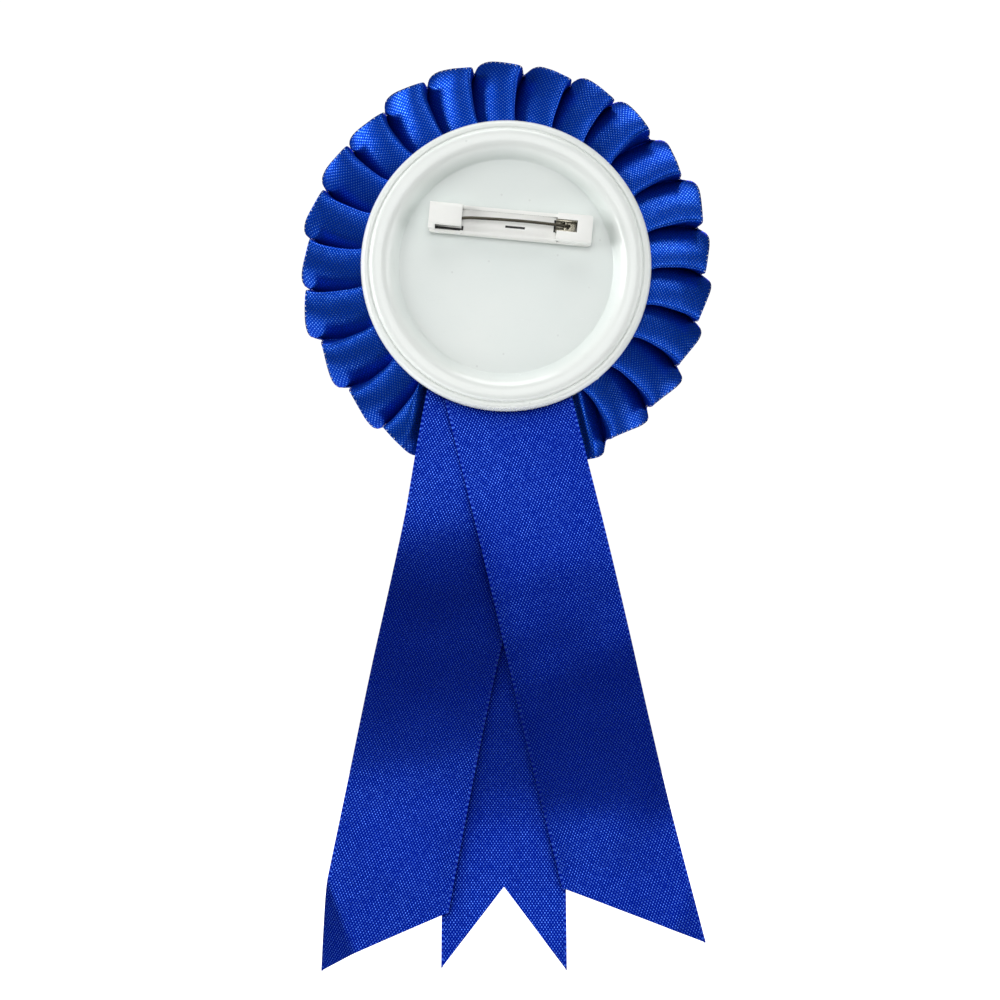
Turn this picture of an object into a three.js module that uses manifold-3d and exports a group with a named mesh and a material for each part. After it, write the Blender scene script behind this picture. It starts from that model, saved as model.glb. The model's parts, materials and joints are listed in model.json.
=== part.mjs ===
// Award ribbon: a pin-back rosette with a pleated satin ruffle, three ribbon tails and a button front.
// Millimetres. +Z is up as worn, +X is to the right when looking at the back, +Y points away from the garment.
// The origin is the centre of the plane in which the rim of the plastic back touches the garment.

import * as THREE from 'three';
import { mergeVertices } from 'three/addons/utils/BufferGeometryUtils.js';
import Module from 'manifold-3d';

const wasm = await Module();
wasm.setup();

// Plastic back
const backRadius = 29;
const backWall = 1.1;
const panRadius = 21.6;
const panDepth = 3.0;
const crestInner = 24.9;
const crestOuter = 26.1;
const grooveRadius = 27.3;
const grooveDepth = 0.75;
const edgeDepth = 3.2;
const roundSegments = 64;

// Ribbon, shared by the ruffle and the tails
const ribbonWidth = 25;
const ribbonSolid = 0.6; // the woven ribbon is thinner; its solid stands for the cloth and its loft
const layerGap = 0.3;

// Depths of the layers in front of the plastic back
const firstLayer = panDepth + backWall + layerGap;
const layerStep = ribbonSolid + layerGap;
const ruffleBack = 4.3;
const ruffleFront = 8.9;
const cardThickness = 1.0;
const cardRadius = 26;
const cardBack = ruffleFront + layerGap;
const gluePadRadius = 19;
const gluePadThickness = 0.5;
const gluePadBack = cardBack + cardThickness + 0.15;

// Ruffle
const pleatCount = 25;
const ruffleInner = 17.5;
const pleatHigh = 42;
const pleatLow = 40.2;
const pleatNotch = 38.6;

// Tails: the lean is from straight down, positive to the right; the lengths are from the bend line along each edge
const bendLine = -29.3;
const clampTop = -17;
const tails = [
  { name: 'tail_right', lean: 13.6, centre: 1.2, leftLength: 97.4, rightLength: 108.6, notch: 0 },
  { name: 'tail_left', lean: -11, centre: -4.1, leftLength: 113.6, rightLength: 102.1, notch: 0 },
  { name: 'tail_centre', lean: 0, centre: -0.4, leftLength: 110.6, rightLength: 111, notch: 15.4 },
];

// Front button
const buttonRadius = 29;
const buttonDome = 4.1;
const sheetSteel = 0.3;
const printedPaper = 0.15;
const clearFilm = 0.15;
const skinGap = 0.05;
const buttonBack = gluePadBack + gluePadThickness + 0.15;
const buttonSegments = 48;

// Bar pin, in its own frame: X along the bar, Z across it, Y into the badge
const barLength = 32.4;
const barWidth = 5.8;
const barBase = 1.0;
const barCorner = 0.7;
const barTilt = THREE.MathUtils.degToRad(5.3);
const barCentre = new THREE.Vector3(0.9, 0, 8.1);
const padThickness = 0.7;
const padBack = panDepth - 0.1;
const barBack = padBack - padThickness - 0.1;
const barTop = barBack - barBase;
const ribHeight = 0.35;
const ribWidth = 0.6;
const hoodLength = 6.5;
const hoodRise = 2.3;
const hoodWall = 0.45;
const hoodEdge = -1.7;
const hoodEndWall = 1.3;
const lipWidth = 0.6;
const blockLength = 7.0;
const blockRise = 2.3;
const pocketLeft = 8.6;
const pocketRight = 13.2;
const pocketWidth = 2.4;
const pocketCentre = 0.4;
const pocketFloor = 1.65;
const relief = { x: -1.0, z: -0.55, length: 3.9, width: 0.45 };
const catchSlot = { start: 1.1, low: -2.3, high: -1.72, upright: 0.42, uprightHigh: -1.2 };
const slotDepth = 0.85;

// Wire, its eye, the rivet that it turns on and the clip that holds the rivet
const wireRadius = 0.3;
const rivetRadius = 0.35;
const rivet = new THREE.Vector3(10.9, 0.3, pocketCentre);
const eyeHole = 0.43;
const eyeRadius = 1.0;
const clipWall = 0.28;
const clipClearance = 0.06;
const stemStart = 9.3;
const stemTip = -14.2;

const colours = {
  whitePlastic: { color: 0xeef1ee, roughness: 0.25, metalness: 0 },
  pinPlastic: { color: 0xf4f4f0, roughness: 0.4, metalness: 0 },
  foam: { color: 0xf1f1ec, roughness: 0.9, metalness: 0 },
  wire: { color: 0x77736a, roughness: 0.35, metalness: 1 },
  brightSteel: { color: 0xb5b2a8, roughness: 0.25, metalness: 1 },
  tailSatin: { color: 0x1f2fa8, roughness: 0.5, metalness: 0 },
  ruffleSatin: { color: 0x12389a, roughness: 0.5, metalness: 0 },
  card: { color: 0xd9d5c8, roughness: 0.9, metalness: 0 },
  glue: { color: 0xe8e4d6, roughness: 0.7, metalness: 0 },
  tinplate: { color: 0xb9bcbe, roughness: 0.3, metalness: 1 },
  artwork: { color: 0xf3f3f3, roughness: 0.7, metalness: 0 },
  film: { color: 0xf7f9fa, roughness: 0.05, metalness: 0 },
};

const materialOf = (key) => new THREE.MeshStandardMaterial(colours[key]);

function piece(name, geometry, key) {
  const mesh = new THREE.Mesh(geometry, materialOf(key));
  mesh.name = name;
  return mesh;
}

// A closed three.js geometry as a solid that can be joined and cut
function solidOf(geometry) {
  const bare = geometry.index ? geometry.toNonIndexed() : geometry.clone();
  bare.deleteAttribute('normal');
  bare.deleteAttribute('uv');
  const merged = mergeVertices(bare, 1e-5);
  return new wasm.Manifold(new wasm.Mesh({
    numProp: 3,
    vertProperties: new Float32Array(merged.attributes.position.array),
    triVerts: new Uint32Array(merged.index.array),
  }));
}

function geometryOf(solid) {
  const mesh = solid.getMesh();
  const geometry = new THREE.BufferGeometry();
  geometry.setAttribute('position', new THREE.BufferAttribute(new Float32Array(mesh.vertProperties), 3));
  geometry.setIndex(new THREE.BufferAttribute(new Uint32Array(mesh.triVerts), 1));
  geometry.computeVertexNormals();
  return geometry;
}

// An outline drawn in X and Z, made a slab between two depths
function slab(shape, near, far, curveSegments = 6) {
  const geometry = new THREE.ExtrudeGeometry(shape, { depth: far - near, bevelEnabled: false, curveSegments });
  geometry.rotateX(Math.PI / 2);
  geometry.translate(0, far, 0);
  return geometry;
}

const outline = (points) => new THREE.Shape(points.map(([x, z]) => new THREE.Vector2(x, z)));

function box(low, high) {
  const geometry = new THREE.BoxGeometry(high[0] - low[0], high[1] - low[1], high[2] - low[2]);
  geometry.translate((low[0] + high[0]) / 2, (low[1] + high[1]) / 2, (low[2] + high[2]) / 2);
  return geometry;
}

function roundedBar(length, width, corner) {
  const shape = new THREE.Shape();
  const x = length / 2;
  const z = width / 2;
  shape.moveTo(-x + corner, -z);
  shape.lineTo(x - corner, -z);
  shape.absarc(x - corner, -z + corner, corner, -Math.PI / 2, 0);
  shape.absarc(x - corner, z - corner, corner, 0, Math.PI / 2);
  shape.absarc(-x + corner, z - corner, corner, Math.PI / 2, Math.PI);
  shape.absarc(-x + corner, -z + corner, corner, Math.PI, 1.5 * Math.PI);
  return shape;
}

// Turned round the Y axis; the profile is a list of [radius, depth]
function turned(profile, segments) {
  return new THREE.LatheGeometry(profile.map(([r, y]) => new THREE.Vector2(r, y)), segments);
}

// ---- Plastic back: a recessed pan inside a rounded ring, a groove and a rolled outer edge

function plasticBack() {
  const slope = 0.9;
  const visible = [
    [0, panDepth],
    [panRadius - 0.5, panDepth],
    [panRadius, panDepth - 0.25],
    [panRadius + slope, panDepth - 1.4],
    [crestInner - 1.2, 0.45],
    [crestInner, 0],
    [crestOuter, 0],
    [grooveRadius - 0.35, 0.35],
    [grooveRadius, grooveDepth],
    [grooveRadius + 0.3, grooveDepth - 0.15],
    [backRadius - 0.7, grooveDepth + 0.25],
    [backRadius - 0.15, edgeDepth - 1.2],
    [backRadius, edgeDepth],
    [backRadius - 0.25, panDepth + backWall - 0.1],
  ];
  const hidden = [
    [backRadius - 1.1, panDepth + backWall - 0.1],
    [backRadius - 1.4, edgeDepth - 1.1],
    [crestOuter, backWall + 0.15],
    [crestInner, backWall],
    [panRadius + slope + 0.2, panDepth - 0.2],
    [panRadius, panDepth + backWall],
    [0, panDepth + backWall],
  ];
  return turned([...visible, ...hidden], roundSegments);
}

// ---- Tails: flat ribbon, each cut at its end and bent where it leaves the rim

function tailAxes(tail) {
  const lean = THREE.MathUtils.degToRad(tail.lean);
  return { down: [Math.sin(lean), -Math.cos(lean)], half: ribbonWidth / 2 / Math.cos(lean), slant: Math.tan(lean) };
}

const centreAt = (tail, z) => tail.centre + (bendLine - z) * tailAxes(tail).slant;

function edgePoint(tail, side, length) {
  const { down, half } = tailAxes(tail);
  return [tail.centre + side * half + down[0] * length, bendLine + down[1] * length];
}

function hangingTail(tail, near) {
  const leftEnd = edgePoint(tail, -1, tail.leftLength);
  const rightEnd = edgePoint(tail, 1, tail.rightLength);
  const points = [edgePoint(tail, 1, 0), edgePoint(tail, -1, 0), leftEnd];
  if (tail.notch > 0) {
    const middle = (leftEnd[1] + rightEnd[1]) / 2 + tail.notch;
    points.push([(leftEnd[0] + rightEnd[0]) / 2, middle]);
  }
  points.push(rightEnd);
  return slab(outline(points), near, near + ribbonSolid);
}

// The end that stays clamped under the plastic back
function clampedEnd(tail, near) {
  const { half } = tailAxes(tail);
  const low = bendLine + layerGap;
  const points = [
    [centreAt(tail, clampTop) + half, clampTop],
    [centreAt(tail, clampTop) - half, clampTop],
    [centreAt(tail, low) - half, low],
    [centreAt(tail, low) + half, low],
  ];
  return slab(outline(points), near, near + ribbonSolid);
}

// ---- Ruffle: one pleated ribbon closed into a ring, hollowed where the tails cross behind it

function ruffleRing() {
  const shape = new THREE.Shape();
  const pitch = (2 * Math.PI) / pleatCount;
  const at = (radius, turn) => new THREE.Vector2(radius * Math.sin(turn), radius * Math.cos(turn));
  for (let i = 0; i < pleatCount; i += 1) {
    const start = -i * pitch;
    const corners = [
      at(pleatNotch, start),
      at(pleatLow, start - 0.06 * pitch),
      at(pleatHigh, start - 0.85 * pitch),
      at(pleatHigh - 1.2, start - 0.97 * pitch),
    ];
    corners.forEach((corner, n) => (i + n === 0 ? shape.moveTo(corner.x, corner.y) : shape.lineTo(corner.x, corner.y)));
  }
  const hole = new THREE.Path();
  hole.absarc(0, 0, ruffleInner, 0, 2 * Math.PI, true);
  shape.holes.push(hole);
  const ring = solidOf(slab(shape, ruffleBack, ruffleFront, 18));
  const reach = pleatHigh + 2;
  const spread = 1.2;
  const [right, left] = tails;
  const passage = outline([
    [centreAt(right, -reach) + ribbonWidth / 2 + spread, -reach],
    [centreAt(left, clampTop) + ribbonWidth / 2 + spread, clampTop + spread],
    [centreAt(right, clampTop) - ribbonWidth / 2 - spread, clampTop + spread],
    [centreAt(left, -reach) - ribbonWidth / 2 - spread, -reach],
  ].reverse());
  const clearOfTails = firstLayer + 3 * layerStep;
  return geometryOf(ring.subtract(solidOf(slab(passage, ruffleBack - 1, clearOfTails))));
}

// ---- Discs behind the front button

function disc(radius, near, far) {
  return turned([[0, near], [radius, near], [radius, far], [0, far]], 48);
}

// A skin of the front button between two offsets from the outside of the steel shell:
// a low dome that rolls over the edge and ends behind it
function buttonSkin(inside, outside, tuck) {
  const edge = 2.4;
  const rollDepth = buttonBack + edge;
  const curve = (offset) => {
    const points = [];
    const rollRadius = buttonRadius - 0.4 - edge;
    const domeRise = buttonDome - edge;
    const steps = 4;
    for (let i = 0; i <= steps; i += 1) {
      const r = (rollRadius * i) / steps;
      const drop = domeRise * (r / rollRadius) ** 2;
      points.push([r, rollDepth + edge + domeRise - drop + offset]);
    }
    for (let turn = 35; turn <= 155; turn += 40) {
      const a = THREE.MathUtils.degToRad(turn);
      points.push([rollRadius + (edge + offset) * Math.sin(a), rollDepth + (edge + offset) * Math.cos(a)]);
    }
    return points.slice(0, points.length - tuck);
  };
  return turned([...curve(inside), ...curve(outside).reverse()], buttonSegments);
}

// ---- Bar pin

function barPad() {
  return slab(roundedBar(barLength - 0.6, barWidth - 0.5, barCorner), padBack - padThickness, padBack);
}

// The catch: a hood that rises from the upper edge, rolls over the wire and stops short of the lower edge
function hoodSolid() {
  const top = barWidth / 2;
  const rise = barTop - hoodRise;
  const bend = 1.1;
  const profile = new THREE.Shape();
  profile.moveTo(top, -barTop);
  profile.lineTo(top, -rise - bend);
  profile.absarc(top - bend, -rise - bend, bend, 0, Math.PI / 2);
  profile.lineTo(hoodEdge + 0.3, -rise);
  profile.lineTo(hoodEdge, -rise - 0.35);
  profile.lineTo(hoodEdge + 0.3, -rise - hoodWall - 0.1);
  profile.lineTo(top - bend, -rise - hoodWall);
  profile.absarc(top - bend, -rise - bend, bend - hoodWall, Math.PI / 2, 0, true);
  profile.lineTo(top - hoodWall, -barTop);
  const hood = new THREE.ExtrudeGeometry(profile, { depth: hoodLength, bevelEnabled: false, curveSegments: 4 });
  const across = new THREE.Matrix4().makeBasis(
    new THREE.Vector3(0, 0, 1), new THREE.Vector3(0, -1, 0), new THREE.Vector3(1, 0, 0));
  hood.applyMatrix4(across);
  hood.translate(-barLength / 2, 0, 0);
  const left = -barLength / 2;
  const sunk = barTop + 0.2;
  const endProfile = outline([
    [left, -top + 0.5],
    [left + hoodEndWall, -top + 0.3],
    [left + hoodEndWall, top - 0.3],
    [left, top - 0.3],
  ]);
  const endWall = slab(endProfile, rise + 0.1, sunk);
  const lip = box([left + 0.3, barTop - 0.55, -top], [left + hoodLength, sunk, -top + lipWidth]);
  hood.translate(0, 0.02, 0);
  return solidOf(hood).add(solidOf(endWall)).add(solidOf(lip));
}

function hingeBlock() {
  const right = barLength / 2;
  const top = barWidth / 2;
  const rise = barTop - blockRise;
  const bevel = 0.7;
  const profile = outline([
    [right - blockLength, -top + 0.5],
    [right - blockLength, top - 0.15],
    [right - 0.3, top - 0.15],
    [right, top - 0.5],
    [right, -top + 0.15],
    [right - blockLength + 1.6, -top + 0.15],
  ].reverse());
  const block = solidOf(slab(profile, rise, barTop + 0.2));
  const edge = new THREE.BoxGeometry(blockLength + 2, 2 * bevel, 2 * bevel);
  edge.rotateX(Math.PI / 4);
  edge.translate(right - blockLength / 2, rise - bevel * 0.35, -top - bevel * 0.35);
  return block.subtract(solidOf(edge));
}

function pinBar() {
  const half = barWidth / 2;
  const ribEnd = barLength / 2 - blockLength + 0.2;
  const ribStart = -barLength / 2 + hoodLength - 0.2;
  let bar = solidOf(slab(roundedBar(barLength, barWidth, barCorner), barTop, barBack));
  for (const side of [-1, 1]) {
    const outer = side * (half - 0.15);
    const inner = side * (half - 0.15 - ribWidth);
    const low = [ribStart, barTop - ribHeight, Math.min(outer, inner)];
    const high = [ribEnd, barTop + 0.2, Math.max(outer, inner)];
    bar = bar.add(solidOf(box(low, high)));
  }
  bar = bar.add(hoodSolid()).add(hingeBlock());
  const pocketLow = [pocketLeft, barTop - blockRise - 1, pocketCentre - pocketWidth / 2];
  const pocketHigh = [pocketRight, pocketFloor, pocketCentre + pocketWidth / 2];
  bar = bar.subtract(solidOf(box(pocketLow, pocketHigh)));
  const reliefLow = [relief.x, barTop - 0.5, relief.z - relief.width / 2];
  const reliefHigh = [relief.x + relief.length, barTop + slotDepth, relief.z + relief.width / 2];
  bar = bar.subtract(solidOf(box(reliefLow, reliefHigh)));
  // An L-shaped slot runs along the hood's free edge and turns up at its end
  const hoodStart = -barLength / 2;
  const hoodEnd = hoodStart + hoodLength;
  const along = box(
    [hoodStart + catchSlot.start, barTop - 0.1, catchSlot.low],
    [hoodEnd + catchSlot.upright, barTop + slotDepth, catchSlot.high]);
  const upright = box(
    [hoodEnd + 0.02, barTop - 0.1, catchSlot.high - 0.05],
    [hoodEnd + catchSlot.upright, barTop + slotDepth, catchSlot.uprightHigh]);
  return geometryOf(bar.subtract(solidOf(along).add(solidOf(upright))));
}

function acrossCylinder(radius, length, sides) {
  const geometry = new THREE.CylinderGeometry(radius, radius, length, sides);
  geometry.rotateX(Math.PI / 2);
  geometry.translate(rivet.x, rivet.y, rivet.z);
  return geometry;
}

// A bent steel channel seated in the pocket, with a hole in each cheek for the rivet
function hingeClip() {
  const width = pocketWidth / 2 - clipClearance;
  const floor = pocketFloor - clipClearance;
  const cheekTop = -0.55;
  const inner = width - clipWall;
  const channel = solidOf(box(
    [pocketLeft + 0.35, cheekTop, pocketCentre - width],
    [pocketRight - 0.15, floor, pocketCentre + width]));
  const inside = box(
    [pocketLeft, cheekTop - 1, pocketCentre - inner],
    [pocketRight + 1, floor - clipWall, pocketCentre + inner]);
  const hole = acrossCylinder(rivetRadius + 0.07, pocketWidth + 2, 12);
  return geometryOf(channel.subtract(solidOf(inside)).subtract(solidOf(hole)));
}

function rivetPin() {
  return acrossCylinder(rivetRadius, pocketWidth - 2 * clipClearance, 12);
}

const stemDepth = rivet.y - (eyeHole + eyeRadius) / 2;

// The wire's eye round the rivet, with the short straight that leads into the stem
function pinKnuckle() {
  const eye = solidOf(acrossCylinder(eyeRadius, 2 * wireRadius, 20));
  const neck = box(
    [stemStart + 0.1, stemDepth - wireRadius * 0.9, rivet.z - wireRadius * 0.9],
    [rivet.x, stemDepth + wireRadius * 0.7, rivet.z + wireRadius * 0.9]);
  const hole = acrossCylinder(eyeHole, 2, 12);
  return geometryOf(eye.add(solidOf(neck)).subtract(solidOf(hole)));
}

// The wire: almost straight, with a small set towards the lower edge where it enters the catch
function pinStem() {
  const path = new THREE.CatmullRomCurve3([
    new THREE.Vector3(stemStart, stemDepth, 0.45),
    new THREE.Vector3(4, stemDepth + 0.02, 0.5),
    new THREE.Vector3(-3, stemDepth + 0.08, 0.45),
    new THREE.Vector3(-8.2, stemDepth + 0.15, 0.3),
    new THREE.Vector3(-10, stemDepth + 0.2, 0),
    new THREE.Vector3(stemTip + 1.6, stemDepth + 0.25, -0.1),
  ]);
  const section = new THREE.Shape();
  section.absarc(0, 0, wireRadius, 0, 2 * Math.PI);
  const wire = new THREE.ExtrudeGeometry(section, { steps: 26, curveSegments: 5, extrudePath: path });
  const point = new THREE.ConeGeometry(wireRadius * 0.97, 1.7, 10);
  point.rotateZ(Math.PI / 2);
  point.translate(stemTip + 0.85, stemDepth + 0.25, -0.1);
  return geometryOf(solidOf(wire).add(solidOf(point)));
}

function barPin() {
  const group = new THREE.Group();
  group.position.copy(barCentre);
  group.rotation.y = barTilt;
  group.add(piece('pin_adhesive_pad', barPad(), 'foam'));
  group.add(piece('pin_bar', pinBar(), 'pinPlastic'));
  group.add(piece('pin_hinge_clip', hingeClip(), 'brightSteel'));
  group.add(piece('pin_rivet', rivetPin(), 'brightSteel'));
  group.add(piece('pin_knuckle', pinKnuckle(), 'wire'));
  group.add(piece('pin_stem', pinStem(), 'wire'));
  return group;
}

// ---- Front button: a flat steel back inside a domed shell, printed paper and clear film over it

function frontButton() {
  const group = new THREE.Group();
  const shellOutside = 0;
  const paperInside = shellOutside + skinGap;
  const filmInside = paperInside + printedPaper + skinGap;
  const backDiscNear = buttonBack + 0.6;
  group.add(piece('front_back_disc', disc(26, backDiscNear, backDiscNear + sheetSteel), 'tinplate'));
  group.add(piece('front_shell', buttonSkin(-sheetSteel, shellOutside, 0), 'tinplate'));
  group.add(piece('artwork_disc', buttonSkin(paperInside, paperInside + printedPaper, 1), 'artwork'));
  group.add(piece('clear_film', buttonSkin(filmInside, filmInside + clearFilm, 0), 'film'));
  return group;
}

const ribbon = new THREE.Group();
ribbon.add(piece('badge_back', plasticBack(), 'whitePlastic'));
ribbon.add(barPin());
tails.forEach((tail, layer) => {
  const near = firstLayer + layer * layerStep;
  ribbon.add(piece(`${tail.name}_clamped_end`, clampedEnd(tail, near), 'tailSatin'));
  ribbon.add(piece(tail.name, hangingTail(tail, near), 'tailSatin'));
});
ribbon.add(piece('ruffle', ruffleRing(), 'ruffleSatin'));
ribbon.add(piece('ruffle_card', disc(cardRadius, cardBack, cardBack + cardThickness), 'card'));
ribbon.add(piece('glue_pad', disc(gluePadRadius, gluePadBack, gluePadBack + gluePadThickness), 'glue'));
ribbon.add(frontButton());

export default ribbon;
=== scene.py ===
import json
import math
from functools import partial

import bmesh
import bpy
import numpy as np
from mathutils import Matrix, Vector, noise


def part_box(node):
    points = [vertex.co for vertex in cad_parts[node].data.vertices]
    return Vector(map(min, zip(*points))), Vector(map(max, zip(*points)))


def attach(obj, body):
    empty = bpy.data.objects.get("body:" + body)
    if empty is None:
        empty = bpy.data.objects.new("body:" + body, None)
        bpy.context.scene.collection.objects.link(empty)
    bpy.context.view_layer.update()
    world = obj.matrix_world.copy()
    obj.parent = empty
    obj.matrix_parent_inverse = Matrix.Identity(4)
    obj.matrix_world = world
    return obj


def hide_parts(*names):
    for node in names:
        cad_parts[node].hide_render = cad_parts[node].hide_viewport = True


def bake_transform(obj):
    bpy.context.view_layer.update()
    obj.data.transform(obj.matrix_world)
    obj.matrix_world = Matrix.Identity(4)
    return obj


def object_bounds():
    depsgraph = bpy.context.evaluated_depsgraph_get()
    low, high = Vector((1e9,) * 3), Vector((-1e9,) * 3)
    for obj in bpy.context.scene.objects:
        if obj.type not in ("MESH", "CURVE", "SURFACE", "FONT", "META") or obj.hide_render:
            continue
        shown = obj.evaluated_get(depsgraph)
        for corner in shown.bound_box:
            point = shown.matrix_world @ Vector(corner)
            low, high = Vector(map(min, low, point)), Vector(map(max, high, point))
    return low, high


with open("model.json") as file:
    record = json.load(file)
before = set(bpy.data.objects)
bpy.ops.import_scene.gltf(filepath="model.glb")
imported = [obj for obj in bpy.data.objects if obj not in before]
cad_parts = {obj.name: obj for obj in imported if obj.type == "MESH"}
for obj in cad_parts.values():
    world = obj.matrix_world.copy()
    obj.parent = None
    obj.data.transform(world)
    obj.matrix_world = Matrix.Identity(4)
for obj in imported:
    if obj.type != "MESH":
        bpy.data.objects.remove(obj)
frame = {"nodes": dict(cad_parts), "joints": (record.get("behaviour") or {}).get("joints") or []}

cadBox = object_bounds()
mm = 0.001
joints = {joint["name"]: joint for joint in frame["joints"]}
scene = bpy.context.scene

# Lengths are in millimetres and angles in degrees, until a mesh is placed.
# The back of the badge faces -Y, the button front faces +Y, and +Z is up as worn.
rosetteFrame = Matrix.Scale(mm, 4)


def linear(code):
    # sRGB hex to linear colour
    parts = [int(code[i:i + 2], 16) / 255 for i in (0, 2, 4)]
    return [c / 12.92 if c <= 0.04045 else ((c + 0.055) / 1.055) ** 2.4 for c in parts] + [1.0]


def addNode(tree, kind, inputs=(), curve=None, **settings):
    # one node, a shader node where its kind names no other; its inputs come in order or by name,
    # and each takes a value, a socket, or a node's first output
    node = tree.nodes.new(kind if "Node" in kind else "ShaderNode" + kind)
    for name, value in settings.items():
        setattr(node, name, value)
    for key, value in inputs.items() if isinstance(inputs, dict) else enumerate(inputs):
        if isinstance(value, bpy.types.Node):
            value = next(socket for socket in value.outputs if socket.enabled)
        if isinstance(value, bpy.types.NodeSocket):
            tree.links.new(value, node.inputs[key])
        else:
            node.inputs[key].default_value = value
    if curve:
        points = node.mapping.curves[0].points
        points[0].location, points[1].location = curve[0], curve[-1]
        for x, y in curve[1:-1]:
            points.new(x, y)
        node.mapping.update()
    return node


# ---- mesh tools

def addPiece(name, points, faces, placing=rosetteFrame, uv=None):
    # a smooth mesh piece; uv gives each vertex its place on the flat ribbon
    mesh = bpy.data.meshes.new(name)
    mesh.from_pydata([tuple(map(float, p)) for p in points], [], faces)
    if uv is not None:
        layer = mesh.uv_layers.new(name="ribbonMap")
        corners = np.array([loop.vertex_index for loop in mesh.loops])
        layer.data.foreach_set("uv", np.asarray(uv, np.float32)[corners].ravel())
    mesh.shade_smooth()
    mesh.transform(placing)
    piece = bpy.data.objects.new(name, mesh)
    scene.collection.objects.link(piece)
    return piece


def outward(piece, sharp=None):
    # welds doubles, turns the faces of a closed piece outwards, and marks edges sharper than this many
    # degrees
    work = bmesh.new()
    work.from_mesh(piece.data)
    bmesh.ops.remove_doubles(work, verts=work.verts, dist=1e-7)
    bmesh.ops.recalc_face_normals(work, faces=work.faces)
    work.to_mesh(piece.data)
    work.free()
    if sharp:
        piece.data.set_sharp_from_angle(angle=math.radians(sharp))
    return piece


def settled(piece, name=None):
    # the piece with its modifiers made into plain mesh
    bpy.context.view_layer.update()
    graph = bpy.context.evaluated_depsgraph_get()
    mesh = bpy.data.meshes.new_from_object(
        piece.evaluated_get(graph), preserve_all_data_layers=True, depsgraph=graph)
    piece.modifiers.clear()
    piece.data = mesh
    piece.name = mesh.name = name or piece.name
    return piece


def rounded(corners, steps=6):
    # an outline with each corner (r, y, rounding) replaced by a short curve
    points = []
    for i, (r, y, size) in enumerate(corners):
        here = Vector((r, y))
        if size == 0:
            points.append(here)
            continue
        before = Vector(corners[i - 1][:2]) - here
        after = Vector(corners[(i + 1) % len(corners)][:2]) - here
        start = here + before.normalized() * min(size, before.length * 0.48)
        end = here + after.normalized() * min(size, after.length * 0.48)
        for step in range(steps + 1):
            t = step / steps
            points.append(start * (1 - t) ** 2 + here * 2 * t * (1 - t) + end * t * t)
    return points


def turned(name, profile, segments=192, placing=rosetteFrame):
    # a closed outline of (radius, depth) turned round the Y axis; it may start and end on the axis
    points, rings, faces = [], [], []
    for r, y in profile:
        if r < 1e-6:
            rings.append([len(points)] * segments)
            points.append((0, y, 0))
            continue
        rings.append(range(len(points), len(points) + segments))
        for step in range(segments):
            turn = 2 * math.pi * step / segments
            points.append((r * math.sin(turn), y, r * math.cos(turn)))
    if profile[0][0] > 1e-6:
        rings.append(rings[0])
    for low, high in zip(rings, rings[1:]):
        for a in range(segments):
            b = (a + 1) % segments
            face = list(dict.fromkeys((low[a], low[b], high[b], high[a])))
            if len(face) > 2:
                faces.append(face)
    return outward(addPiece(name, points, faces, placing), sharp=50)


def smoothThrough(points, steps):
    # a Catmull-Rom curve through points of any dimension
    spots = [np.array(p, float) for p in points]
    spots = [2 * spots[0] - spots[1]] + spots + [2 * spots[-1] - spots[-2]]
    line = []
    for a, b, c, d in zip(spots, spots[1:], spots[2:], spots[3:]):
        for step in range(steps):
            t = step / steps
            line.append(b + 0.5 * t * (c - a + t * (2 * a - 5 * b + 4 * c - d + t * (3 * (b - c) + d - a))))
    return line + [spots[-2]]


def along(points, x):
    # height of a smooth line through given (x, height) points
    line = np.array(smoothThrough(sorted(points), 12))
    return np.interp(x, line[:, 0], line[:, 1])


def wire(name, path, radii, placing, sides=16):
    # a round wire along a path, closed at both ends
    path = [Vector(p) for p in path]
    points, faces = [], []
    side = Vector((0, 0, 1))
    for i, spot in enumerate(path):
        ahead = (path[min(i + 1, len(path) - 1)] - path[max(i - 1, 0)]).normalized()
        side = (side - ahead * side.dot(ahead)).normalized()
        over = ahead.cross(side)
        for step in range(sides):
            turn = 2 * math.pi * step / sides
            points.append(spot + (side * math.cos(turn) + over * math.sin(turn)) * radii[i])
    for i in range(len(path) - 1):
        for step in range(sides):
            a, b = i * sides + step, i * sides + (step + 1) % sides
            faces.append((a, b, b + sides, a + sides))
    faces.append(list(range(sides)))
    faces.append([len(points) - 1 - step for step in range(sides)])
    return outward(addPiece(name, points, faces, placing), sharp=60)


def softened(node, name, width, segments=3):
    # a copy of a CAD solid with its flat faces made whole and its edges rounded
    piece = bpy.data.objects.new(name, frame["nodes"][node].data.copy())
    scene.collection.objects.link(piece)
    piece.data.materials.clear()
    work = bmesh.new()
    work.from_mesh(piece.data)
    bmesh.ops.remove_doubles(work, verts=work.verts, dist=2e-6)
    bmesh.ops.dissolve_limit(work, angle_limit=math.radians(2), verts=work.verts, edges=work.edges)
    work.to_mesh(piece.data)
    work.free()
    bevel = piece.modifiers.new("moulded edges", "BEVEL")
    bevel.width, bevel.segments = width * mm, segments
    bevel.limit_method, bevel.angle_limit = "ANGLE", math.radians(25)
    settled(piece)
    piece.data.shade_smooth()
    return outward(piece, sharp=35)


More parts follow.
